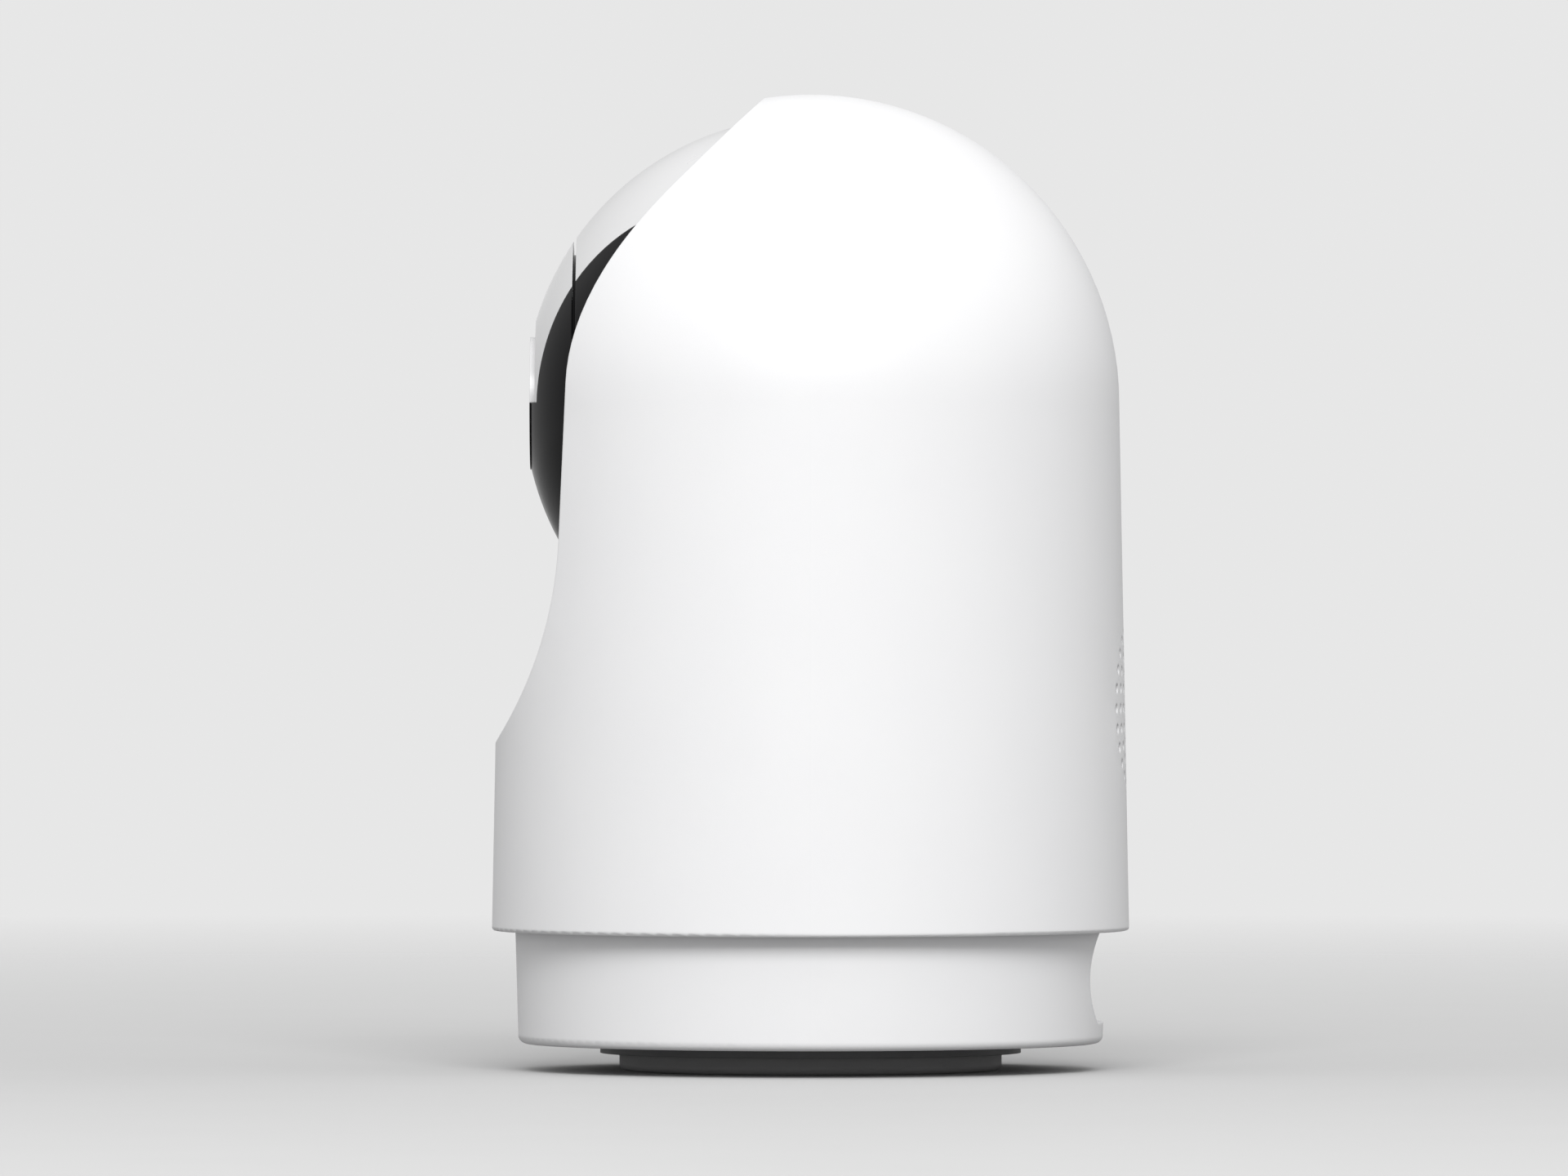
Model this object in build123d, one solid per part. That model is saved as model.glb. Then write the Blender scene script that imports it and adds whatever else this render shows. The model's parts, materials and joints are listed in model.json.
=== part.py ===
from build123d import *
from math import acos, cos, pi, radians, sin, sqrt, tan
import os

# Pan and tilt security camera, in millimetres.
# A white dome body pans on a low round base, and a ball head with the lens tilts in the body.
# +Z is up and the lens looks along -Y. The origin is the centre of the foot's underside.

# ---- Driving dimensions ----

# Foot and foot plate
foot_radius = 23.4
foot_height = 2.15
foot_edge_radius = 0.8
foot_plate_radius = 25.75
foot_plate_thickness = 1.15

# Base
base_height = 14.3
base_draft = 0.4
base_edge_radius = 1.0
base_wall = 2.0
base_floor = 2.4
base_cover_thickness = 2.0
spindle_radius = 9.0
spindle_bore = 6.0
post_radius = 3.0
base_post_circle = 20.0
base_screw_length = 6.0
screw_recess = 1.4

# Socket bay at the back of the base
bay_radius = 14.0
bay_depth = 2.15
bay_ledge_height = 2.55
bay_wall = 3.0
bay_pad_half_width = 13.0
socket_width = 8.9
socket_height = 3.2
socket_length = 7.3
socket_wall = 0.3
socket_setback = 0.3
board_thickness = 1.2
power_board_lift = 2.7
power_board_half_width = 9.5
power_board_front_y = 12.0
power_board_screw_x = 6.5
power_board_screw_y = 16.0

# Body, whose rim hangs over the top of the base
skirt_overlap = 0.5
skirt_gap = 0.75
thrust_gap = 1.5
room_under_ball = 28.8
body_draft = 1.2
body_wall = 2.1
body_edge_radius = 0.4
chassis_thickness = 2.0
stop_width = 1.0
stop_length = 2.0
shell_boss_radius = 3.2
shell_boss_height = 12.0
shell_boss_angles = (30, 150, 210, 330)

# Ball head, and the opening that it looks out of
ball_radius = 35.1
ball_gap = 0.6
ball_half_width = 24.0
ball_wall = 2.0
slope_angle = 45.0
slope_setback = 4.75
slope_bend = 17.6
front_lean = 2.6
front_setback = 5.35
front_bend = 11.5
front_drop = 17.0
chin_radius = 48.5
panel_wall = 2.0
panel_top_drop = 3.0

# Face of the ball
seam_setback = 6.3
seam_width = 0.42
face_spigot = 1.6
face_flat_setback = 1.5
face_ring_setback = 0.8
face_ring_radius = 8.1
window_radius = 7.2
window_thickness = 1.0
window_shelf = 0.8
lens_barrel_radius = 6.1
lens_thread_radius = 4.9
colour_plane_distance = 23.5
colour_plane_normal = (0.91, -0.41, -0.07)

# Speaker and its holes
speaker_height = 44.3
speaker_radius = 12.5
speaker_depth = 5.0
speaker_hole_radius = 0.6
speaker_ring_pitch = 2.375
speaker_rings = 4

# Gears
gear_module = 0.5
pressure_angle = 25.0
tooth_addendum = 0.8
tooth_dedendum = 1.1
backlash = 0.08
pan_gear_teeth = 60
pan_pinion_teeth = 15
tilt_gear_teeth = 30
tilt_pinion_teeth = 12
gear_width = 3.0
tilt_gear_width = 2.5
gear_core_radius = 0.5

# Tilt arms and pins
arm_thickness = 2.5
arm_half_width = 8.0
arm_ball_gap_left = 4.5
arm_ball_gap_right = 2.0
arm_foot_length = 8.5
arm_foot_thickness = 2.5
arm_screw_y = 5.0
arm_slot_half_width = 4.0
arm_slot_margin = 14.0
tilt_pin_radius = 3.0
bush_wall = 1.0
bush_flange = 1.5
bush_flange_thickness = 1.0

# Motors
pan_motor_radius = 10.0
pan_motor_height = 12.0
pan_motor_lift = 6.0
pan_shaft_radius = 1.25
pan_ear_x = 14.0
pan_ear_thickness = 1.4
tilt_motor_radius = 7.5
tilt_motor_length = 12.0
tilt_shaft_radius = 1.0
tilt_motor_cup = 6.0

# Boards
main_board_side_gap = 0.5
main_board_front_y = -27.0
main_board_back_y = 22.0
main_board_gap = 1.4
processor_half_width = 7.0
processor_height = 1.2
indicator_board_half_width = 8.0
indicator_board_half_height = 5.0
image_board_half = 11.0
infrared_board_radius = 15.6
infrared_post_x = 13.0
lamp_circle = 12.0

# Frame inside the ball
frame_half_height = 11.0
frame_front_y = -6.0
frame_back_y = 20.0
frame_plate_thickness = 2.0
frame_side_thickness = 2.5

# Card slot and reset button, below the lens
card_angle = 45.0
card_slot_half_width = 5.8
reset_x = 9.0
reset_lift = 1.75
reset_radius = 0.9

# Screws
large_screw_radius = 1.25
small_screw_radius = 0.8

# Clearances
fit_gap = 0.05
running_gap = 0.05
free_gap = 0.3

os.makedirs("parts", exist_ok=True)


def save(name, shape):
    """Write one sub-part to its own STEP file."""
    export_step(shape, f"parts/{name}.step")


# ---- Building blocks ----


def rod(radius, start, end):
    """Cylinder between two points."""
    axis = Vector(end) - Vector(start)
    plane = Plane(origin=start, z_dir=axis)
    return extrude(plane * Circle(radius), axis.length)


def block(low, high):
    """Box between its lowest and highest corners."""
    size = Vector(high) - Vector(low)
    middle = (Vector(high) + Vector(low)) * 0.5
    return Pos(middle) * Box(size.X, size.Y, size.Z)


def around(count, radius, start_angle=0.0):
    """Points spaced evenly on a circle."""
    step = 360 / count
    angles = [radians(start_angle + step * index) for index in range(count)]
    return [(radius * cos(angle), radius * sin(angle)) for angle in angles]


def screw(radius, head_point, tip_point):
    """Pan-head screw: its head lies outside head_point, and its shaft runs to tip_point."""
    axis = (Vector(tip_point) - Vector(head_point)).normalized()
    head_height = 1.1 * radius
    top = Vector(head_point) - axis * head_height
    head = rod(1.8 * radius, top, head_point)
    recess = rod(0.8 * radius, top, top + axis * head_height * 0.5)
    return head + rod(radius, head_point, tip_point) - recess


def flat_screw(radius, head_point, tip_point):
    """Screw with a low head, so that it lies below the surface of its recess."""
    axis = (Vector(tip_point) - Vector(head_point)).normalized()
    head_height = 0.9
    top = Vector(head_point) - axis * head_height
    recess = rod(0.7 * radius, top, top + axis * head_height * 0.5)
    return rod(1.8 * radius, top, head_point) + rod(radius, head_point, tip_point) - recess


def group(shapes):
    """Separate solids kept together in one node."""
    return Compound(children=list(shapes))


def involute(angle):
    return tan(angle) - angle


def gear_points(teeth):
    """Outline of a spur gear: involute flanks, with the teeth thinned by the backlash.

    The middle of one tooth points along the first axis of the plane.
    """
    pitch_radius = teeth * gear_module / 2
    base_radius = pitch_radius * cos(radians(pressure_angle))
    tip_radius = pitch_radius + tooth_addendum * gear_module
    root_radius = pitch_radius - tooth_dedendum * gear_module
    half_tooth = pi / (2 * teeth) - backlash / (2 * pitch_radius)
    full_angle = half_tooth + involute(radians(pressure_angle))
    flank_start = max(base_radius, root_radius)
    steps = 4
    flank = []
    if root_radius < base_radius:
        flank.append((root_radius, full_angle))
    for index in range(steps + 1):
        radius = flank_start + (tip_radius - flank_start) * index / steps
        flank.append((radius, full_angle - involute(acos(base_radius / radius))))
    rising = [(radius, -half) for radius, half in flank]
    tooth = rising + list(reversed(flank))
    points = []
    for index in range(teeth):
        turn = 2 * pi * index / teeth
        points += [(radius * cos(turn + half), radius * sin(turn + half)) for radius, half in tooth]
    return points


def gear(teeth, plane, width, bore):
    outline = Polyline(*gear_points(teeth), close=True)
    blank = make_face(plane * outline)
    hole = plane * Circle(bore)
    return extrude(blank - hole, width, dir=plane.z_dir)


def mesh_distance(gear_teeth, pinion_teeth):
    return (gear_teeth + pinion_teeth) * gear_module / 2


# ---- Sizes worked out from the driving dimensions ----

# Heights of the base, the chassis and the ball
base_z = foot_height + foot_plate_thickness
floor_top_z = base_z + base_floor
base_top_z = base_z + base_height
cover_bottom_z = base_top_z - base_cover_thickness
body_z = base_top_z - skirt_overlap
chassis_z = base_top_z + thrust_gap
chassis_top_z = chassis_z + chassis_thickness
bush_flange_top_z = chassis_top_z + bush_flange_thickness
spindle_top_z = bush_flange_top_z + free_gap
gear_top_z = spindle_top_z + gear_width
cavity_radius = ball_radius + ball_gap
ball_z = body_z + room_under_ball + cavity_radius

# Radii of the dome, the rim and the base
dome_radius = cavity_radius + body_wall
rim_radius = dome_radius + body_draft
base_top_radius = rim_radius - body_wall - skirt_gap
base_bottom_radius = base_top_radius - base_draft
overall_height = ball_z + dome_radius
ball_inner_radius = ball_radius - ball_wall
inner_half_width = ball_half_width - ball_wall

# Base
post_points = around(3, base_post_circle, start_angle=-90)
power_board_z = floor_top_z + power_board_lift
power_board_top_z = power_board_z + board_thickness
bay_z = power_board_top_z + socket_height / 2
bay_face_y = base_top_radius - bay_depth
bay_pad_y = bay_face_y - bay_wall
socket_mouth_y = bay_face_y - socket_setback
washer_radius = spindle_radius + 3.5
stop_radius = spindle_radius + 5.5
gear_screw_points = around(3, (spindle_radius + spindle_bore) / 2, start_angle=30)
bush_radius = spindle_radius + running_gap + bush_wall

# Body
shell_boss_circle = rim_radius - body_wall - shell_boss_radius + 0.4
shell_boss_points = [
    (shell_boss_circle * cos(radians(angle)), shell_boss_circle * sin(radians(angle)))
    for angle in shell_boss_angles
]
pan_motor_y = -mesh_distance(pan_gear_teeth, pan_pinion_teeth)
pan_motor_z = chassis_top_z + pan_motor_lift
pan_motor_top_z = pan_motor_z + pan_motor_height
pan_ear_top_z = pan_motor_z + pan_ear_thickness
main_board_half_width = ball_half_width - main_board_side_gap
main_board_z = pan_motor_top_z + main_board_gap
main_board_top_z = main_board_z + board_thickness
processor_top_z = main_board_top_z + processor_height
board_post_x = main_board_half_width - 3.5
board_post_points = [(side * board_post_x, y) for y in (-23.5, 18.5) for side in (1, -1)]
left_arm_x = -(ball_half_width + arm_ball_gap_left)
right_arm_x = ball_half_width + arm_ball_gap_right
left_foot_screw_x = left_arm_x + arm_foot_length - 2.5
right_foot_screw_x = right_arm_x - arm_foot_length + arm_thickness + 2.5
bracket_screw_points = [
    (x, y) for x in (left_foot_screw_x, right_foot_screw_x) for y in (-arm_screw_y, arm_screw_y)
]
tilt_bush_radius = tilt_pin_radius + running_gap + bush_wall
tilt_gear_screw_points = [(y, ball_z + z) for y, z in around(2, 5.2, start_angle=90)]
indicator_z = ball_z - 0.855 * ball_radius
indicator_board_y = 1.35 + front_setback - ball_radius
indicator_post_x = 6.0
indicator_post_z = indicator_z - 3.5
light_z = indicator_z + 2.2
microphone_z = indicator_z - 2.6
speaker_front_y = cavity_radius - 2.7

# Ball head
tilt_pinion_y = mesh_distance(tilt_gear_teeth, tilt_pinion_teeth)
tilt_plate_x = inner_half_width - frame_side_thickness
shell_front_y = seam_setback + seam_width / 2 - ball_radius
face_back_y = seam_setback - seam_width / 2 - ball_radius
face_flat_y = face_flat_setback - ball_radius
face_ring_y = face_ring_setback - ball_radius
head_screw_points = [(16.5, -8.5), (16.5, 8.5)]
head_screw_recess = 1.0
image_board_y = frame_front_y - 3.0
image_screw_points = [(x, z) for x in (-9.3, 9.3) for z in (-9.3, 9.3)]
lens_holder_front_y = image_board_y - 11.0
lens_barrel_front_y = face_ring_y + window_thickness + free_gap
lens_steps = ((1.0, 5.1), (2.0, 4.5), (3.2, 4.0))
infrared_board_y = face_flat_y + 5.4
card_mouth = ball_inner_radius - 1.1


# ---- Shapes that several pieces share ----


def sphere_at_ball(radius):
    return Pos(0, 0, ball_z) * Sphere(radius)


def front_cut(inset=0.0):
    """Solid in front of the face that the ball looks out of, right across the body.

    From the top down the face is a flat slope, a parabolic bend, a leaning flat and the hollow chin.
    A positive inset sets the whole face back into the body.
    """
    lean = radians(front_lean)
    slope = radians(slope_angle)
    slope_distance = ball_radius - slope_setback - inset
    front_distance = ball_radius - front_setback - inset
    hollow_radius = chin_radius + inset
    outside = rim_radius + 2.0
    far = -2 * outside

    # The slope and the leaning flat would meet at this corner if there was no bend.
    opening = sin(slope - lean)
    corner = Vector(
        (slope_distance * sin(lean) - front_distance * sin(slope)) / opening,
        (slope_distance * cos(lean) - front_distance * cos(slope)) / opening + ball_z,
    )
    up_slope = Vector(sin(slope), cos(slope))
    down_front = Vector(-sin(lean), -cos(lean))
    slope_top = corner + up_slope * 2 * dome_radius
    bend_top = corner + up_slope * slope_bend
    bend_end = corner + down_front * front_bend
    chin_top = corner + down_front * (corner.Y - ball_z + front_drop)

    hollow_centre = chin_top + Vector(-cos(lean), sin(lean)) * hollow_radius
    hollow_end = acos(cos(lean) - (outside + chin_top.X) / hollow_radius)

    def hollow_point(angle):
        return hollow_centre + Vector(cos(angle), -sin(angle)) * hollow_radius

    chin_end = hollow_point(hollow_end)
    outline = Polyline((far, slope_top.Y), slope_top, bend_top)
    outline += Bezier(bend_top, corner, bend_end)
    outline += Line(bend_end, chin_top)
    outline += ThreePointArc(chin_top, hollow_point((lean + hollow_end) / 2), chin_end)
    outline += Polyline(chin_end, (far, chin_end.Y), (far, slope_top.Y))
    return extrude(make_face(Plane.YZ * outline), outside, both=True)


def dome_body(bottom_radius, ball_level_radius, bottom_z):
    """Conical wall with a half ball on top."""
    top_z = ball_z + ball_level_radius
    side = ball_level_radius * sin(radians(45))
    outline = Polyline((0, top_z), (0, bottom_z), (bottom_radius, bottom_z), (ball_level_radius, ball_z))
    outline += ThreePointArc((ball_level_radius, ball_z), (side, ball_z + side), (0, top_z))
    return revolve(make_face(Plane.XZ * outline), Axis.Z)


def wall_radius(z):
    """Outside radius of the conical wall at a height."""
    return rim_radius - body_draft * (z - body_z) / (ball_z - body_z)


def ball_slice(radius, half_width):
    """Ball of the head with its two sides cut flat."""
    reach = ball_radius
    return sphere_at_ball(radius) & block(
        (-half_width, -reach, ball_z - reach), (half_width, reach, ball_z + reach)
    )


def white_region():
    """Space of the ball's white top: above the middle and between the two slanting colour lines."""
    reach = 4 * ball_radius
    region = block((-reach, -reach, ball_z), (reach, reach, ball_z + reach))
    x, y, z = colour_plane_normal
    for side in (1, -1):
        normal = Vector(side * x, y, z).normalized()
        origin = Vector(0, 0, ball_z) + normal * colour_plane_distance
        plane = Plane(origin=origin, z_dir=normal)
        region &= extrude(plane * Rectangle(reach, reach), -reach)
    return region


# ---- Base ----


def base_disc(inset, bottom_z, top_z):
    """Slightly conical disc that follows the base's wall at a distance inside it."""
    def radius(z):
        return base_bottom_radius + base_draft * (z - base_z) / base_height - inset

    outline = Polyline(
        (0, bottom_z), (radius(bottom_z), bottom_z), (radius(top_z), top_z), (0, top_z), close=True
    )
    return revolve(make_face(Plane.XZ * outline), Axis.Z)


def rubber_foot():
    foot = rod(foot_radius, (0, 0, 0), (0, 0, foot_height))
    return fillet(foot.edges().sort_by(Axis.Z)[0], foot_edge_radius)


def foot_plate():
    return rod(foot_plate_radius, (0, 0, foot_height), (0, 0, base_z))


def socket_block(inset, front_y, back_y):
    """Rounded bar with the outline of the power socket, inset from its outside."""
    outline = SlotOverall(socket_width - 2 * inset, socket_height - 2 * inset)
    plane = Plane(origin=(0, front_y, bay_z), x_dir=(1, 0, 0), z_dir=(0, 1, 0))
    return extrude(plane * outline, back_y - front_y)


def power_board_holes(bottom_z):
    """Holes for the two screws of the power board, from a height up to the board's top."""
    radius = small_screw_radius + fit_gap
    y = power_board_screw_y
    return [
        rod(radius, (x, y, bottom_z), (x, y, power_board_top_z))
        for x in (-power_board_screw_x, power_board_screw_x)
    ]


def base_shell():
    """Cup of the base, with the hollow and the opening for the power socket at the back."""
    outside = base_disc(0, base_z, base_top_z)
    outside = fillet(outside.edges().sort_by(Axis.Z)[0], base_edge_radius)
    cup = outside - base_disc(base_wall, floor_top_z, base_top_z)
    pad_side = bay_pad_half_width
    pad = block((-pad_side, bay_pad_y, base_z), (pad_side, base_top_radius, cover_bottom_z))
    cup += pad & outside
    scoop_y = bay_face_y + bay_radius
    scoop = rod(bay_radius, (-base_top_radius, scoop_y, bay_z), (base_top_radius, scoop_y, bay_z))
    above_ledge = block(
        (-base_top_radius, 0, base_z + bay_ledge_height),
        (base_top_radius, 2 * base_top_radius, base_top_z),
    )
    cup -= scoop & above_ledge
    cup -= socket_block(-fit_gap, bay_pad_y - 1, base_top_radius)
    for x in (-power_board_screw_x, power_board_screw_x):
        cup += rod(2.0, (x, power_board_screw_y, base_z + 1), (x, power_board_screw_y, power_board_z))
    cup -= power_board_holes(floor_top_z - 1)
    board_rest = block((-8, bay_pad_y - 4.5, floor_top_z - 1), (8, bay_pad_y - 3.0, power_board_z))
    cup += board_rest
    for x, y in post_points:
        cup -= rod(2.5, (x, y, base_z), (x, y, base_z + screw_recess))
        cup -= rod(large_screw_radius + fit_gap, (x, y, base_z), (x, y, floor_top_z))
    return cup


def base_cover():
    """Lid of the base, with posts for its screws, the hollow spindle and the stop that ends the pan."""
    lid = base_disc(base_wall + fit_gap, cover_bottom_z, base_top_z)
    for x, y in post_points:
        lid += rod(post_radius, (x, y, floor_top_z), (x, y, base_top_z))
    lid += rod(spindle_radius, (0, 0, cover_bottom_z), (0, 0, spindle_top_z))
    lid += stop_block(stop_radius, base_top_z, chassis_z - free_gap)
    lid -= rod(spindle_bore, (0, 0, cover_bottom_z), (0, 0, spindle_top_z))
    for x, y in post_points:
        hole_top = (x, y, floor_top_z + base_screw_length)
        lid -= rod(large_screw_radius + fit_gap, (x, y, floor_top_z), hole_top)
    for x, y in gear_screw_points:
        lid -= rod(small_screw_radius + fit_gap, (x, y, spindle_top_z - 4), (x, y, spindle_top_z))
    return lid


def stop_block(y, bottom_z, top_z):
    """Small block that limits how far the body can pan."""
    return block(
        (-stop_width / 2, y - stop_length / 2, bottom_z), (stop_width / 2, y + stop_length / 2, top_z)
    )


def base_screws():
    recess_top = base_z + screw_recess
    tip_z = floor_top_z + base_screw_length
    return group(screw(large_screw_radius, (x, y, recess_top), (x, y, tip_z)) for x, y in post_points)


def thrust_washer():
    top_z = chassis_z - running_gap
    washer = rod(washer_radius, (0, 0, base_top_z), (0, 0, top_z))
    return washer - rod(spindle_radius + free_gap, (0, 0, base_top_z), (0, 0, top_z))


def pan_gear():
    plane = Plane.XY.offset(spindle_top_z)
    wheel = gear(pan_gear_teeth, plane, gear_width, spindle_bore)
    for x, y in gear_screw_points:
        wheel -= rod(small_screw_radius + fit_gap, (x, y, spindle_top_z), (x, y, gear_top_z))
    return wheel


def gear_screws():
    tip_z = spindle_top_z - 3.5
    return group(screw(small_screw_radius, (x, y, gear_top_z), (x, y, tip_z)) for x, y in gear_screw_points)


def power_socket():
    """Metal shell of the socket with its tongue."""
    back_y = socket_mouth_y - socket_length
    shell = socket_block(0, back_y, socket_mouth_y)
    shell -= socket_block(socket_wall, back_y + 1.2, socket_mouth_y)
    tongue_half_width = socket_width / 2 - 1.15
    tongue_half_height = 0.35
    tongue = block(
        (-tongue_half_width, back_y + 1, bay_z - tongue_half_height),
        (tongue_half_width, socket_mouth_y - 0.9, bay_z + tongue_half_height),
    )
    return shell + tongue


def power_board():
    """Circuit board that carries the socket, with its two larger parts soldered on."""
    top_z = power_board_top_z
    board = block(
        (-power_board_half_width, power_board_front_y, power_board_z),
        (power_board_half_width, bay_pad_y - free_gap, top_z),
    )
    converter = block((-7.5, 19.5, top_z), (-2.5, 24.0, top_z + 2.0))
    capacitor = rod(2.2, (4.5, 21.5, top_z), (4.5, 21.5, top_z + 3.0))
    return board + converter + capacitor - power_board_holes(power_board_z)


def power_board_screws():
    return group(
        screw(
            small_screw_radius,
            (x, power_board_screw_y, power_board_top_z),
            (x, power_board_screw_y, floor_top_z - 0.8),
        )
        for x in (-power_board_screw_x, power_board_screw_x)
    )


# ---- Body ----


def body_shell():
    """White wall and dome in one moulding, open in front, with screw bosses and the speaker holes."""
    outside = dome_body(rim_radius, dome_radius, body_z)
    outside = fillet(outside.edges().sort_by(Axis.Z)[0], body_edge_radius)
    shell = outside - dome_body(rim_radius - body_wall, cavity_radius, body_z)
    boss_top_z = chassis_top_z + shell_boss_height
    for x, y in shell_boss_points:
        shell += rod(shell_boss_radius, (x, y, chassis_top_z), (x, y, boss_top_z))
    shell -= front_cut()
    for x, y in shell_boss_points:
        shell -= rod(large_screw_radius + fit_gap, (x, y, chassis_top_z), (x, y, boss_top_z - 2))
    return shell - speaker_holes()


def speaker_holes():
    """Rings of small holes through the back wall, each ring with six more holes than the one inside it."""
    wall_y = wall_radius(speaker_height)
    holes = []
    for ring in range(speaker_rings + 1):
        for x, z in around(max(1, 6 * ring), ring * speaker_ring_pitch):
            start = (x, wall_y - 3 * body_wall, speaker_height + z)
            holes.append(rod(speaker_hole_radius, start, (x, wall_y + 1, speaker_height + z)))
    return holes


def front_panel():
    """Chin under the ball: a curved plate inside the body's front opening, hollowed for the ball."""
    cavity = dome_body(rim_radius - body_wall - fit_gap, cavity_radius - fit_gap, chassis_top_z)
    panel = (front_cut(panel_wall) - front_cut()) & cavity
    panel -= block((-rim_radius, -rim_radius, ball_z - panel_top_drop), (rim_radius, 0, overall_height))
    post_length = 4.2
    for x in (-indicator_post_x, indicator_post_x):
        post_foot = (x, indicator_board_y, indicator_post_z)
        panel += rod(1.5, post_foot, (x, indicator_board_y - post_length, indicator_post_z))
    panel -= sphere_at_ball(cavity_radius)
    panel -= rod(1.0 + fit_gap, (0, -rim_radius, light_z), (0, indicator_board_y, light_z))
    panel -= rod(0.5, (0, -rim_radius, microphone_z), (0, indicator_board_y, microphone_z))
    return panel


def chassis():
    """Bottom plate of the body, with posts for the motor and the main board and the moving pan stop."""
    plate_radius = wall_radius(chassis_z) - body_wall - 2 * fit_gap
    plate = rod(plate_radius, (0, 0, chassis_z), (0, 0, chassis_top_z))
    for x, y in board_post_points:
        plate += rod(2.5, (x, y, chassis_top_z), (x, y, main_board_z))
    for x in (-pan_ear_x, pan_ear_x):
        plate += rod(2.6, (x, pan_motor_y, chassis_top_z), (x, pan_motor_y, pan_motor_z))
    plate += stop_block(-stop_radius, base_top_z + free_gap, chassis_z)
    plate -= rod(bush_radius, (0, 0, chassis_z), (0, 0, chassis_top_z))
    hole_radius = small_screw_radius + fit_gap
    for x, y in board_post_points:
        plate -= rod(hole_radius, (x, y, main_board_z - 6), (x, y, main_board_z))
    for x in (-pan_ear_x, pan_ear_x):
        plate -= rod(hole_radius, (x, pan_motor_y, pan_motor_z - 5), (x, pan_motor_y, pan_motor_z))
    for x, y in shell_boss_points:
        plate -= rod(large_screw_radius + free_gap, (x, y, chassis_z), (x, y, chassis_top_z))
        plate -= rod(1.8 * large_screw_radius + 0.1, (x, y, chassis_z), (x, y, chassis_z + 1.0))
    for x, y in bracket_screw_points:
        plate -= rod(hole_radius, (x, y, chassis_z), (x, y, chassis_top_z))
    return plate


def pan_bush():
    """Plain bearing with a flange, pressed into the chassis round the spindle."""
    bush = rod(bush_radius, (0, 0, chassis_z), (0, 0, bush_flange_top_z))
    bush += rod(bush_radius + bush_flange, (0, 0, chassis_top_z), (0, 0, bush_flange_top_z))
    return bush - rod(spindle_radius + running_gap, (0, 0, chassis_z), (0, 0, bush_flange_top_z))


def shell_screws():
    head_z = chassis_z + 1.0
    tip_z = chassis_top_z + shell_boss_height - 4
    return group(
        flat_screw(large_screw_radius, (x, y, head_z), (x, y, tip_z)) for x, y in shell_boss_points
    )


def tilt_arm(inner_x, side):
    """Upright arm with a foot that is screwed to the chassis and a round eye for the tilt bush."""
    outer_x = inner_x + side * arm_thickness
    foot_x = inner_x - side * (arm_foot_length - arm_thickness)
    low_x, high_x = sorted((inner_x, outer_x))
    arm = block((low_x, -arm_half_width, chassis_top_z), (high_x, arm_half_width, ball_z))
    arm += rod(arm_half_width, (low_x, 0, ball_z), (high_x, 0, ball_z))
    foot_low, foot_high = sorted((foot_x, outer_x))
    foot_top_z = chassis_top_z + arm_foot_thickness
    arm += block((foot_low, -arm_half_width, chassis_top_z), (foot_high, arm_half_width, foot_top_z))
    arm -= rod(tilt_bush_radius, (low_x, 0, ball_z), (high_x, 0, ball_z))
    slot_low = (low_x, -arm_slot_half_width, chassis_top_z + arm_slot_margin)
    arm -= block(slot_low, (high_x, arm_slot_half_width, ball_z - arm_slot_margin))
    for x, y in bracket_screw_points:
        arm -= rod(small_screw_radius + fit_gap, (x, y, chassis_top_z), (x, y, foot_top_z))
    return arm


def tilt_bracket_left():
    """Left arm, with the holes for the screws of the fixed tilt gear."""
    arm = tilt_arm(left_arm_x, -1)
    for y, z in tilt_gear_screw_points:
        arm -= rod(small_screw_radius + fit_gap, (left_arm_x - arm_thickness, y, z), (left_arm_x, y, z))
    return arm


def tilt_bracket_right():
    return tilt_arm(right_arm_x, 1)


def bracket_screws():
    head_z = chassis_top_z + arm_foot_thickness
    tip_z = chassis_z + 0.2
    return group(screw(small_screw_radius, (x, y, head_z), (x, y, tip_z)) for x, y in bracket_screw_points)


def tilt_bush():
    """Two plain bearings, one in each arm."""
    bushes = []
    for inner_x, side in ((left_arm_x, -1), (right_arm_x, 1)):
        outer_x = inner_x + side * arm_thickness
        bush = rod(tilt_bush_radius, (inner_x, 0, ball_z), (outer_x, 0, ball_z))
        bushes.append(bush - rod(tilt_pin_radius + running_gap, (inner_x, 0, ball_z), (outer_x, 0, ball_z)))
    return group(bushes)


def tilt_gear():
    """Fixed gear on the left arm that the tilt pinion rolls round."""
    plane = Plane(origin=(left_arm_x, 0, ball_z), x_dir=(0, 1, 0), z_dir=(1, 0, 0))
    wheel = gear(tilt_gear_teeth, plane, tilt_gear_width, tilt_pin_radius + free_gap)
    for y, z in tilt_gear_screw_points:
        hole_end = (left_arm_x + tilt_gear_width - 0.8, y, z)
        wheel -= rod(small_screw_radius + fit_gap, (left_arm_x, y, z), hole_end)
    return wheel


def tilt_gear_screws():
    outer_x = left_arm_x - arm_thickness
    tip_x = left_arm_x + 1.4
    return group(
        screw(small_screw_radius, (outer_x, y, z), (tip_x, y, z)) for y, z in tilt_gear_screw_points
    )


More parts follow.
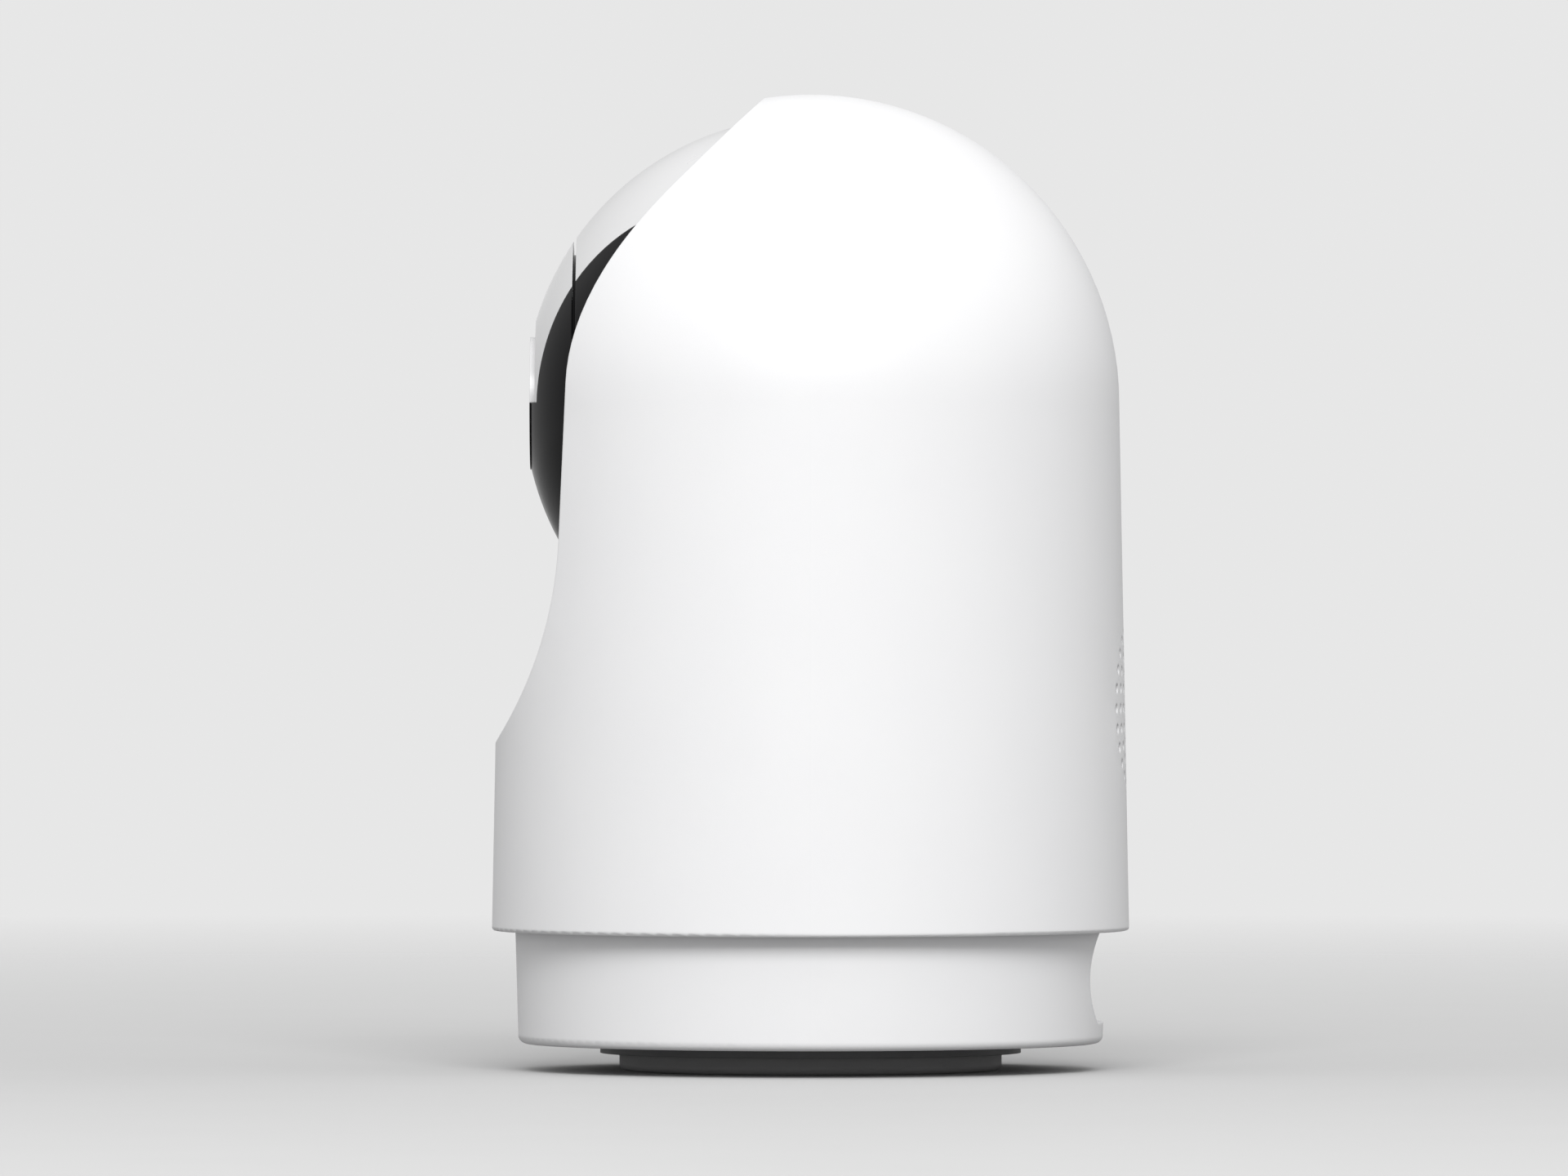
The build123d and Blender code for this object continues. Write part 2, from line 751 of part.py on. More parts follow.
def pan_motor():
    """Stepper motor that stands on two posts, with a bore for its shaft."""
    ear_half_width = 3.0
    motor = rod(pan_motor_radius, (0, pan_motor_y, pan_motor_z), (0, pan_motor_y, pan_motor_top_z))
    motor += block(
        (-pan_ear_x, pan_motor_y - ear_half_width, pan_motor_z),
        (pan_ear_x, pan_motor_y + ear_half_width, pan_ear_top_z),
    )
    for x in (-pan_ear_x, pan_ear_x):
        foot = (x, pan_motor_y, pan_motor_z)
        top = (x, pan_motor_y, pan_ear_top_z)
        motor += rod(ear_half_width, foot, top)
        motor -= rod(small_screw_radius + fit_gap, foot, top)
    plug_y = pan_motor_y + pan_motor_radius + 2.5
    motor += block((-5, pan_motor_y + 5, pan_motor_z + 2), (5, plug_y, pan_motor_top_z - 2))
    bore_top_z = pan_motor_z + pan_motor_height / 2
    bore = rod(pan_shaft_radius + running_gap, (0, pan_motor_y, pan_motor_z), (0, pan_motor_y, bore_top_z))
    return motor - bore


def pan_motor_screws():
    return group(
        screw(small_screw_radius, (x, pan_motor_y, pan_ear_top_z), (x, pan_motor_y, pan_motor_z - 4))
        for x in (-pan_ear_x, pan_ear_x)
    )


def pan_pinion():
    """Pinion and shaft of the pan motor. A gap between two of its teeth faces the fixed gear."""
    facing = radians(90 + 180 / pan_pinion_teeth)
    plane = Plane(
        origin=(0, pan_motor_y, spindle_top_z), x_dir=(cos(facing), sin(facing), 0), z_dir=(0, 0, 1)
    )
    pinion = gear(pan_pinion_teeth, plane, gear_width, gear_core_radius)
    shaft_top_z = pan_motor_z + pan_motor_height / 2 - free_gap
    return pinion + rod(pan_shaft_radius, (0, pan_motor_y, spindle_top_z), (0, pan_motor_y, shaft_top_z))


def main_board():
    """Main circuit board, with two tall connectors and a row of small parts."""
    board = block(
        (-main_board_half_width, main_board_front_y, main_board_z),
        (main_board_half_width, main_board_back_y, main_board_top_z),
    )
    for x in (4.5 - main_board_half_width, main_board_half_width - 8.5):
        board += block((x, -16, main_board_top_z), (x + 5, -6, main_board_top_z + 2.5))
    for x in (-10, -3, 4):
        board += block((x, 15, main_board_top_z), (x + 4, 19, main_board_top_z + 1.2))
    for x, y in board_post_points:
        board -= rod(small_screw_radius + fit_gap, (x, y, main_board_z), (x, y, main_board_top_z))
    return board


def board_screws():
    return group(
        screw(small_screw_radius, (x, y, main_board_top_z), (x, y, main_board_z - 5))
        for x, y in board_post_points
    )


def main_processor():
    half = processor_half_width
    return block((-half, -half, main_board_top_z), (half, half, processor_top_z))


def heat_spreader():
    """Small finned block on the processor."""
    half = processor_half_width
    plate_thickness = 0.8
    fin_height = 2.0
    fin_count = 5
    fin_thickness = 1.0
    fin_top_z = processor_top_z + fin_height
    spreader = block((-half, -half, processor_top_z), (half, half, processor_top_z + plate_thickness))
    step = (2 * half - fin_thickness) / (fin_count - 1)
    for index in range(fin_count):
        x = -half + step * index
        spreader += block((x, -half, processor_top_z), (x + fin_thickness, half, fin_top_z))
    return spreader


def radio_module():
    start_x = 1.5 - main_board_half_width
    return block((start_x, 0, main_board_top_z), (start_x + 11.5, 12, main_board_top_z + 2.2))


def antenna():
    """Thin strip on the inside of the wall beside the left arm."""
    strip_thickness = 0.6
    strip_angle = 150
    wall = dome_body(rim_radius - body_wall, cavity_radius, body_z)
    wall -= dome_body(rim_radius - body_wall - strip_thickness, cavity_radius - strip_thickness, body_z)
    place = block((0, -4, ball_z - 37), (2 * rim_radius, 4, ball_z - 7))
    return wall & Rot(0, 0, strip_angle) * place


def speaker():
    """Round speaker: basket in front and magnet behind."""
    front = (0, speaker_front_y, speaker_height)
    cone = (0, speaker_front_y - 1.5, speaker_height)
    basket_back = (0, speaker_front_y - speaker_depth, speaker_height)
    magnet_back = (0, speaker_front_y - speaker_depth - 4.0, speaker_height)
    basket = rod(speaker_radius, basket_back, front) - rod(speaker_radius - 2, cone, front)
    cap = rod(4.0, cone, (0, speaker_front_y - 0.6, speaker_height))
    return basket + cap + rod(8.0, magnet_back, basket_back)


def speaker_gasket():
    """Soft ring that seals the speaker against the curved wall."""
    front = (0, speaker_front_y, speaker_height)
    outside = (0, rim_radius, speaker_height)
    ring = rod(speaker_radius, front, outside) - rod(speaker_radius - 1.5, front, outside)
    return ring & dome_body(rim_radius - body_wall, cavity_radius, body_z)


def indicator_board():
    """Small board behind the chin, held by the two posts of the panel."""
    back_y = indicator_board_y + board_thickness
    half_width = indicator_board_half_width
    half_height = indicator_board_half_height
    return block(
        (-half_width, indicator_board_y, indicator_z - half_height),
        (half_width, back_y, indicator_z + half_height),
    )


def status_light():
    """Light guide from the indicator board to the face of the chin."""
    guide = rod(1.0, (0, -rim_radius, light_z), (0, indicator_board_y, light_z))
    return guide - front_cut()


def microphone():
    start = (0, indicator_board_y, microphone_z)
    return rod(2.0, start, (0, indicator_board_y - 1.4, microphone_z))


# ---- Ball head ----


def hollow_ball():
    """Hollow ball with flat sides, open in front where the face cap goes, with its side holes."""
    ball = ball_slice(ball_radius, ball_half_width) - ball_slice(ball_inner_radius, inner_half_width)
    ball -= block((-ball_radius, -ball_radius, 0), (ball_radius, shell_front_y, overall_height))
    ball -= rod(tilt_pin_radius + free_gap, (-ball_half_width, 0, ball_z), (ball_half_width, 0, ball_z))
    motor_side = (-ball_half_width, tilt_pinion_y, ball_z)
    ball -= rod(tilt_shaft_radius + free_gap, motor_side, (-inner_half_width, tilt_pinion_y, ball_z))
    for side in (-1, 1):
        for y, z in head_screw_points:
            outer = (side * ball_half_width, y, ball_z + z)
            recess = (side * (ball_half_width - head_screw_recess), y, ball_z + z)
            inner = (side * inner_half_width, y, ball_z + z)
            ball -= rod(1.8 * small_screw_radius + 0.1, outer, recess)
            ball -= rod(small_screw_radius + fit_gap, recess, inner)
    return ball


def card_place():
    """Frame whose third axis points out through the card slot, below the lens."""
    outward = (0, -cos(radians(card_angle)), -sin(radians(card_angle)))
    return Plane(origin=(0, 0, ball_z), x_dir=(1, 0, 0), z_dir=outward).location


def head_white_shell():
    return hollow_ball() & white_region()


def head_dark_shell():
    """Dark lower half and cheeks, with the card slot, the reset hole and the card reader's rails."""
    shell = hollow_ball() - white_region()
    outside = ball_radius + 1.0
    rails = [
        block((side * 11.5 - 0.8, -2, card_mouth - 8), (side * 11.5 + 0.8, 2, ball_inner_radius))
        for side in (-1, 1)
    ]
    rails = card_place() * (rails[0] + rails[1])
    shell += rails & ball_slice(ball_inner_radius + 0.5, inner_half_width)
    slot = block((-card_slot_half_width, 0.55, card_mouth - 2), (card_slot_half_width, 1.95, outside))
    shell -= card_place() * slot
    reset_start = (reset_x, reset_lift, card_mouth - 2)
    shell -= card_place() * rod(reset_radius + free_gap, reset_start, (reset_x, reset_lift, outside))
    return shell


def face_cap(flat_y):
    """Front cap of the ball, hollow behind, cut flat in front with a raised ring round the window."""
    cap = sphere_at_ball(ball_radius)
    cap &= block((-ball_radius, flat_y, 0), (ball_radius, face_back_y, overall_height))
    cap += rod(face_ring_radius, (0, face_ring_y, ball_z), (0, face_flat_y, ball_z))
    pocket_front_y = face_flat_y + ball_wall
    pocket = block((-ball_radius, pocket_front_y, 0), (ball_radius, face_back_y, overall_height))
    cap -= sphere_at_ball(ball_inner_radius) & pocket
    front = (0, face_ring_y, ball_z)
    seat = rod(window_radius + fit_gap, front, (0, face_ring_y + window_thickness, ball_z))
    return cap - seat - rod(window_radius - window_shelf, front, (0, face_back_y, ball_z))


def face_plate():
    """Dark part of the face, round down to its ring, with the spigot that centres the whole face."""
    seam_radius = sqrt(ball_radius**2 - face_back_y**2)
    spigot = rod(seam_radius - face_spigot, (0, face_back_y, ball_z), (0, shell_front_y, ball_z))
    return face_cap(face_ring_y) - white_region() + (spigot - sphere_at_ball(ball_inner_radius))


def face_brow():
    """White part of the face, with a flat ledge above its ring."""
    return face_cap(face_flat_y) & white_region()


def lens_window():
    return rod(window_radius, (0, face_ring_y, ball_z), (0, face_ring_y + window_thickness, ball_z))


def lens_barrel():
    """Threaded lens tube with a stepped mouth that narrows towards the front lens."""
    front = (0, lens_barrel_front_y, ball_z)
    back = (0, image_board_y - 3, ball_z)
    holder_front = (0, lens_holder_front_y, ball_z)
    barrel = rod(lens_barrel_radius, front, holder_front)
    barrel += rod(lens_thread_radius, holder_front, back)
    for depth, radius in lens_steps:
        barrel -= rod(radius, front, (0, lens_barrel_front_y + depth, ball_z))
    return barrel - rod(2.5, front, back)


def front_lens():
    """Domed first lens, seated in the barrel's mouth."""
    seat_depth, seat_radius = lens_steps[-1]
    seat_y = lens_barrel_front_y + seat_depth
    bulge = Pos(0, seat_y + 3.4, ball_z) * Sphere(5.2)
    disc = rod(seat_radius - fit_gap, (0, seat_y - 2.4, ball_z), (0, seat_y, ball_z))
    return disc & bulge


def lens_holder():
    """Square base on the image board with a tube that the lens barrel screws into."""
    front = (0, lens_holder_front_y, ball_z)
    back = (0, image_board_y, ball_z)
    half = 8.0
    holder = block((-half, lens_holder_front_y + 6, ball_z - half), (half, image_board_y, ball_z + half))
    holder += rod(half, front, back)
    holder -= rod(lens_thread_radius + fit_gap, front, back)
    room = half - 1.5
    return holder - block((-room, image_board_y - 3, ball_z - room), (room, image_board_y, ball_z + room))


def image_board():
    """Circuit board behind the lens, with the image sensor on its front."""
    half = image_board_half
    back_y = image_board_y + board_thickness
    board = block((-half, image_board_y, ball_z - half), (half, back_y, ball_z + half))
    board += block((-4, image_board_y - 1, ball_z - 3), (4, image_board_y, ball_z + 3))
    for x, z in image_screw_points:
        board -= rod(small_screw_radius + fit_gap, (x, image_board_y, ball_z + z), (x, back_y, ball_z + z))
    return board


def image_board_screws():
    return group(
        screw(small_screw_radius, (x, image_board_y, ball_z + z), (x, frame_front_y + 1.6, ball_z + z))
        for x, z in image_screw_points
    )


def infrared_board():
    """Ring-shaped board behind the face cap."""
    back_y = infrared_board_y + board_thickness
    board = rod(infrared_board_radius, (0, infrared_board_y, ball_z), (0, back_y, ball_z))
    return board - rod(lens_barrel_radius + free_gap, (0, infrared_board_y, ball_z), (0, back_y, ball_z))


def infrared_lamps():
    """Night lamps in the lower half of the ring, behind the dark face."""
    base_radius = 1.5
    base_height = 0.9
    lens_radius = 1.2
    lamps = []
    for x, z in around(10, lamp_circle, start_angle=198)[:5]:
        foot = (x, infrared_board_y, ball_z + z)
        base = rod(base_radius, (x, infrared_board_y - base_height, ball_z + z), foot)
        lens = Pos(x, infrared_board_y - 0.5, ball_z + z) * Sphere(lens_radius)
        in_front = rod(2 * lens_radius, (x, infrared_board_y - 3, ball_z + z), foot)
        lamps.append(base + (lens & in_front))
    return group(lamps)


def head_frame():
    """Frame inside the ball, with the two tilt pins, the motor's cup and posts for the lamp board."""
    low_z = ball_z - frame_half_height
    high_z = ball_z + frame_half_height
    plate_back_y = frame_front_y + frame_plate_thickness
    hole_radius = small_screw_radius + fit_gap
    frame = block((-inner_half_width, frame_front_y, low_z), (inner_half_width, plate_back_y, high_z))
    for side in (-1, 1):
        low_x, high_x = sorted((side * tilt_plate_x, side * inner_half_width))
        frame += block((low_x, frame_front_y, low_z), (high_x, frame_back_y, high_z))
        post_x = side * infrared_post_x
        post_end = (post_x, infrared_board_y + board_thickness, ball_z)
        frame += rod(1.6, (post_x, frame_front_y, ball_z), post_end)
    left_pin_end = left_arm_x - arm_thickness - free_gap
    right_pin_end = right_arm_x + arm_thickness + free_gap
    frame += rod(tilt_pin_radius, (left_pin_end, 0, ball_z), (-tilt_plate_x, 0, ball_z))
    frame += rod(tilt_pin_radius, (tilt_plate_x, 0, ball_z), (right_pin_end, 0, ball_z))

    cup_foot = (-tilt_plate_x, tilt_pinion_y, ball_z)
    cup_mouth = (-tilt_plate_x + tilt_motor_cup, tilt_pinion_y, ball_z)
    frame += rod(tilt_motor_radius + 1.5, cup_foot, cup_mouth)
    frame -= rod(tilt_motor_radius + fit_gap, cup_foot, cup_mouth)
    frame -= rod(tilt_shaft_radius + free_gap, (-inner_half_width, tilt_pinion_y, ball_z), cup_foot)

    for x, z in image_screw_points:
        post_end = (x, image_board_y + board_thickness, ball_z + z)
        frame += rod(1.5, post_end, (x, frame_front_y, ball_z + z))
        frame -= rod(hole_radius, post_end, (x, plate_back_y, ball_z + z))
    for side in (-1, 1):
        for y, z in head_screw_points:
            outer = (side * inner_half_width, y, ball_z + z)
            frame -= rod(hole_radius, outer, (side * tilt_plate_x, y, ball_z + z))
    wire_hole = rod(1.6, (tilt_plate_x - 1, 0, ball_z), (right_pin_end, 0, ball_z))
    return frame - wire_hole


def head_screws():
    screws = []
    for side in (-1, 1):
        for y, z in head_screw_points:
            head_point = (side * (ball_half_width - head_screw_recess), y, ball_z + z)
            tip_point = (side * (inner_half_width - 2.2), y, ball_z + z)
            screws.append(flat_screw(small_screw_radius, head_point, tip_point))
    return group(screws)


def card_board():
    """Small board below the lens that carries the card reader and the reset switch."""
    board = block((-10.5, -0.5, card_mouth - 14), (10.5, 0.5, card_mouth - 0.7))
    switch = block((reset_x - 1.5, 0.5, card_mouth - 6), (reset_x + 1.5, 3.0, card_mouth - 2.5))
    return card_place() * (board + switch)


def card_reader():
    """Metal cage that the memory card slides into."""
    cage = block((-7, 0.5, card_mouth - 13), (7, 2.1, card_mouth))
    room = block((-card_slot_half_width, 0.75, card_mouth - 11.5), (card_slot_half_width, 1.8, card_mouth))
    return card_place() * (cage - room)


def reset_button():
    """Short plunger in the small hole beside the card slot."""
    inner = (reset_x, reset_lift, card_mouth - 2)
    outer = (reset_x, reset_lift, ball_inner_radius + 0.4)
    return card_place() * rod(reset_radius, inner, outer)


def tilt_motor():
    """Small stepper motor inside the ball, with a bore for its shaft."""
    foot = (-tilt_plate_x, tilt_pinion_y, ball_z)
    middle = (-tilt_plate_x + tilt_motor_length / 2, tilt_pinion_y, ball_z)
    end = (-tilt_plate_x + tilt_motor_length, tilt_pinion_y, ball_z)
    return rod(tilt_motor_radius, foot, end) - rod(tilt_shaft_radius + running_gap, foot, middle)


def tilt_pinion():
    """Pinion and shaft of the tilt motor. A gap between two of its teeth faces the fixed gear."""
    facing = radians(180 + 180 / tilt_pinion_teeth)
    start = (left_arm_x + free_gap, tilt_pinion_y, ball_z)
    plane = Plane(origin=start, x_dir=(0, cos(facing), sin(facing)), z_dir=(1, 0, 0))
    pinion = gear(tilt_pinion_teeth, plane, tilt_gear_width, gear_core_radius)
    shaft_end_x = -tilt_plate_x + tilt_motor_length / 2 - free_gap
    return pinion + rod(tilt_shaft_radius, start, (shaft_end_x, tilt_pinion_y, ball_z))


pieces = (
    rubber_foot, foot_plate, base_shell, base_cover, base_screws, thrust_washer, pan_gear, gear_screws,
    power_socket, power_board, power_board_screws,
    body_shell, front_panel, chassis, pan_bush, shell_screws, tilt_bracket_left, tilt_bracket_right,
    bracket_screws, tilt_bush, tilt_gear, tilt_gear_screws, pan_motor, pan_motor_screws, pan_pinion,
    main_board, board_screws, main_processor, heat_spreader, radio_module, antenna, speaker,
    speaker_gasket, indicator_board, status_light, microphone,
    head_white_shell, head_dark_shell, face_plate, face_brow, lens_window, lens_barrel, front_lens,
    lens_holder, image_board, image_board_screws, infrared_board, infrared_lamps, head_frame,
    head_screws, card_board, card_reader, reset_button, tilt_motor, tilt_pinion,
)
for piece in pieces:
    save(piece.__name__, piece())
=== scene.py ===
"""Looks of the pan and tilt security camera. Metres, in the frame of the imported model.

+Z is up, the lens looks along -Y, and the photographed side faces +X.
"""
import bmesh
import bpy
import json
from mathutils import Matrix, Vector

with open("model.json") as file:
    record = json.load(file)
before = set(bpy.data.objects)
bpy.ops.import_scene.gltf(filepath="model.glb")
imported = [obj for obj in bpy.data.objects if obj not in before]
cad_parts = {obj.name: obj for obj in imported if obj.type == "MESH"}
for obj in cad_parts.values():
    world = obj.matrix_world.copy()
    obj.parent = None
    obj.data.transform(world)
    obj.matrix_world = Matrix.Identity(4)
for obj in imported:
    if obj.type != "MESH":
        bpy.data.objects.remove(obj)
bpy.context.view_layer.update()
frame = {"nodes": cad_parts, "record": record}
nodes = frame["nodes"]
MM = 0.001


# ---- Materials ----


class Nodes:
    """A material's node tree, with short ways to add and join nodes."""

    def __init__(self, name):
        self.material = bpy.data.materials.new(name)
        self.material.use_nodes = True
        self.tree = self.material.node_tree
        self.shader = self.tree.nodes["Principled BSDF"]
        self.output = self.tree.nodes["Material Output"]

    def add(self, kind, **values):
        """Adds a node and sets its inputs, or its own properties, by name."""
        node = self.tree.nodes.new(kind)
        for key, value in values.items():
            if key in node.inputs:
                node.inputs[key].default_value = value
            else:
                setattr(node, key, value)
        return node

    def link(self, source, target):
        self.tree.links.new(source, target)

    def set(self, **values):
        """Sets the shader's own sockets: spaces in their names are written as underscores."""
        for key, value in values.items():
            self.shader.inputs[key.replace("_", " ")].default_value = value

    def coordinates(self):
        return self.add("ShaderNodeTexCoord").outputs["Object"]

    def noise(self, scale, detail=2.0, roughness=0.5, vector=None):
        """Noise over the object, with its scale given in features per metre."""
        node = self.add("ShaderNodeTexNoise", Scale=scale, Detail=detail, Roughness=roughness)
        self.link(vector or self.coordinates(), node.inputs["Vector"])
        return node.outputs["Fac"]

    def between(self, factor, low, high, start=0.0, end=1.0):
        """Maps a factor from start..end to low..high."""
        node = self.add("ShaderNodeMapRange")
        node.inputs["From Min"].default_value = start
        node.inputs["From Max"].default_value = end
        node.inputs["To Min"].default_value = low
        node.inputs["To Max"].default_value = high
        self.link(factor, node.inputs["Value"])
        return node.outputs["Result"]

    def blend(self, factor, first, second):
        """Colour between two colours by a factor."""
        node = self.add("ShaderNodeMix", data_type="RGBA")
        node.inputs["A"].default_value = (*first, 1.0)
        node.inputs["B"].default_value = (*second, 1.0)
        self.link(factor, node.inputs["Factor"])
        return node.outputs["Result"]

    def bump(self, height, distance, strength=1.0, edge=0.0):
        """Bump from a height, over rounded edges where an edge radius is given."""
        node = self.add("ShaderNodeBump", Strength=strength, Distance=distance)
        self.link(height, node.inputs["Height"])
        if edge:
            rounded = self.add("ShaderNodeBevel", samples=6, Radius=edge)
            self.link(rounded.outputs["Normal"], node.inputs["Normal"])
        self.link(node.outputs["Normal"], self.shader.inputs["Normal"])


def plastic(name, light, dark, roughness, grain=9000.0, depth=0.004, spread=0.05, edge=0.15, **shader):
    """Moulded plastic: fine grain in the surface, and slight changes of colour and gloss."""
    m = Nodes(name)
    m.link(m.blend(m.noise(60.0, detail=3.0), dark, light), m.shader.inputs["Base Color"])
    fine = m.noise(grain, detail=3.0, roughness=0.6)
    broad = m.noise(180.0, detail=4.0)
    m.link(m.between(broad, roughness - spread, roughness + spread, 0.3, 0.7), m.shader.inputs["Roughness"])
    m.bump(fine, depth * MM, edge=edge * MM)
    m.set(**shader)
    return m.material


def metal(name, light, dark, roughness, along=(1.0, 1.0, 1.0), edge=0.05):
    """Plated or drawn metal with fine marks that may run one way."""
    m = Nodes(name)
    stretch = m.add("ShaderNodeMapping", Scale=along)
    m.link(m.coordinates(), stretch.inputs["Vector"])
    marks = m.noise(4000.0, detail=4.0, roughness=0.7, vector=stretch.outputs["Vector"])
    m.link(m.blend(marks, dark, light), m.shader.inputs["Base Color"])
    m.link(m.between(marks, roughness - 0.08, roughness + 0.1, 0.3, 0.7), m.shader.inputs["Roughness"])
    m.bump(marks, 0.003 * MM, edge=edge * MM)
    m.set(Metallic=1.0)
    return m.material


def circuit_board(name):
    """Green solder mask over copper: tracks show as slightly raised, paler lines."""
    m = Nodes(name)
    tracks = m.add("ShaderNodeTexVoronoi", feature="DISTANCE_TO_EDGE", distance="MANHATTAN", Scale=420.0)
    m.link(m.coordinates(), tracks.inputs["Vector"])
    line = m.between(tracks.outputs["Distance"], 1.0, 0.0, 0.02, 0.05)
    m.link(m.blend(line, (0.006, 0.07, 0.03), (0.02, 0.16, 0.06)), m.shader.inputs["Base Color"])
    m.link(m.between(m.noise(900.0), 0.25, 0.4, 0.3, 0.7), m.shader.inputs["Roughness"])
    m.bump(line, 0.03 * MM, edge=0.05 * MM)
    m.set(Coat_Weight=0.3, Coat_Roughness=0.2)
    return m.material


def glass(name, tint, dust=0.03, **shader):
    """Coated optical glass: a dark mirror-like surface with a trace of dust in the gloss."""
    m = Nodes(name)
    m.link(m.blend(m.noise(300.0), tint, [value * 0.8 for value in tint]), m.shader.inputs["Base Color"])
    m.link(m.between(m.noise(2500.0, detail=4.0), 0.01, dust, 0.4, 0.7), m.shader.inputs["Roughness"])
    m.set(**shader)
    return m.material


def foam(name, colour):
    m = Nodes(name)
    cells = m.add("ShaderNodeTexVoronoi", Scale=2200.0)
    m.link(m.coordinates(), cells.inputs["Vector"])
    darker = [value * 0.5 for value in colour]
    m.link(m.blend(cells.outputs["Distance"], darker, colour), m.shader.inputs["Base Color"])
    m.bump(cells.outputs["Distance"], 0.1 * MM)
    m.set(Roughness=0.95)
    return m.material


def make_materials():
    """One material for each slot of the record."""
    return {
        "white_body": plastic("white_body", (0.86, 0.86, 0.865), (0.83, 0.83, 0.84), 0.42, spread=0.04,
                              depth=0.006, edge=0.35, Subsurface_Weight=0.06,
                              Subsurface_Radius=(1.0, 0.95, 0.9), Subsurface_Scale=0.0015),
        # Painted shade: this white is darker than the body's white, standing in for the shade the shell's
        # edge throws on the ball; the sheen lobe lightens its outline.
        "white_head": plastic("white_head", (0.71, 0.71, 0.715), (0.69, 0.69, 0.695), 0.3, spread=0.03,
                              depth=0.003, edge=0.2, Sheen_Weight=0.35, Sheen_Roughness=0.35),
        "gloss_black": plastic("gloss_black", (0.007, 0.007, 0.0075), (0.006, 0.006, 0.0065), 0.12,
                               spread=0.03, depth=0.0006, edge=0.2, IOR=1.18),
        "rubber": plastic("rubber", (0.40, 0.40, 0.405), (0.36, 0.36, 0.365), 0.62,
                          grain=5000.0, depth=0.02),
        "dark_plastic": plastic("dark_plastic", (0.16, 0.16, 0.165), (0.14, 0.14, 0.143), 0.45, depth=0.01),
        "inner_plastic": plastic("inner_plastic", (0.10, 0.10, 0.11), (0.08, 0.08, 0.088), 0.5,
                                 depth=0.015),
        "bearing_plastic": plastic("bearing_plastic", (0.74, 0.71, 0.63), (0.68, 0.65, 0.57), 0.38),
        "screw_steel": metal("screw_steel", (0.62, 0.62, 0.64), (0.42, 0.42, 0.44), 0.3),
        "socket_metal": metal("socket_metal", (0.70, 0.70, 0.72), (0.5, 0.5, 0.52), 0.28, along=(1, 0.1, 1)),
        "motor_metal": metal("motor_metal", (0.58, 0.58, 0.6), (0.4, 0.4, 0.42), 0.34, along=(1, 1, 0.08)),
        "circuit_board": circuit_board("circuit_board"),
        "chip": plastic("chip", (0.03, 0.03, 0.032), (0.022, 0.022, 0.024), 0.55, depth=0.02, edge=0.05),
        "aluminium": metal("aluminium", (0.8, 0.8, 0.82), (0.62, 0.62, 0.64), 0.35, along=(1, 0.1, 1)),
        "speaker_black": plastic("speaker_black", (0.035, 0.035, 0.036), (0.02, 0.02, 0.021), 0.75,
                                 depth=0.05),
        "foam": foam("foam", (0.07, 0.07, 0.07)),
        "light_guide": plastic("light_guide", (0.75, 0.8, 0.85), (0.7, 0.75, 0.8), 0.2,
                               depth=0.002, edge=0.1, Transmission_Weight=0.5, IOR=1.49),
        "window_glass": glass("window_glass", (0.5, 0.5, 0.55), dust=0.015,
                              Transmission_Weight=0.95, IOR=1.45),
        "lens_glass": glass("lens_glass", (0.10, 0.08, 0.20), Coat_Weight=1.0, Coat_Roughness=0.01),
        "lamp_clear": plastic("lamp_clear", (0.2, 0.18, 0.2), (0.12, 0.1, 0.12), 0.12, depth=0.001),
        "lens_black": plastic("lens_black", (0.016, 0.016, 0.017), (0.01, 0.01, 0.011), 0.35, depth=0.01),
        "button": plastic("button", (0.09, 0.09, 0.09), (0.07, 0.07, 0.07), 0.35),
    }


def dress_cad(materials):
    """Gives every CAD node the material of its slot."""
    slots = {part["node"]: part["material_slot"] for part in frame["record"]["subparts"]}
    for name, node in nodes.items():
        node.data.materials.clear()
        node.data.materials.append(materials[slots[name]])


# ---- Stage ----

VIEW_WIDTH = 0.192
CAMERA_DISTANCE = 1.9
CAMERA_SIDE = -0.00325
CAMERA_HEIGHT = 0.059
SENSOR = 36.0
CLIP_END = 100.0


def make_camera():
    """Camera level with the middle of the object, at its side."""
    data = bpy.data.cameras.new("camera")
    data.sensor_width = SENSOR
    data.lens = SENSOR * CAMERA_DISTANCE / VIEW_WIDTH
    data.clip_end = CLIP_END
    camera = bpy.data.objects.new("camera", data)
    camera.location = (CAMERA_DISTANCE, CAMERA_SIDE, CAMERA_HEIGHT)
    camera.rotation_euler = Vector((-1, 0, 0)).to_track_quat("-Z", "Y").to_euler()
    bpy.context.scene.collection.objects.link(camera)
    bpy.context.scene.camera = camera


def area_light(name, place, target, size, power):
    data = bpy.data.lights.new(name, "AREA")
    data.shape = "RECTANGLE"
    data.size, data.size_y = size
    data.energy = power
    light = bpy.data.objects.new(name, data)
    light.location = place
    light.rotation_euler = (Vector(target) - Vector(place)).to_track_quat("-Z", "Y").to_euler()
    bpy.context.scene.collection.objects.link(light)


KEY_PLACE = (1.7, 0.05, 1.25)
KEY_TARGET = (0.0, 0.0, 0.06)
KEY_SIZE = (1.1, 0.9)
KEY_POWER = 31.0
SKY_LOW = 0.48
SKY_HIGH = 0.80
SKY_LOW_END = 0.1
SKY_HIGH_START = 0.6
BACKGROUND = 0.80
FLOOR_SEEN = 0.57
FLOOR_BOUNCE = 0.30
FLOOR_RADIUS = 0.9
FLOOR_SEGMENTS = 96
FADE_START = 0.08


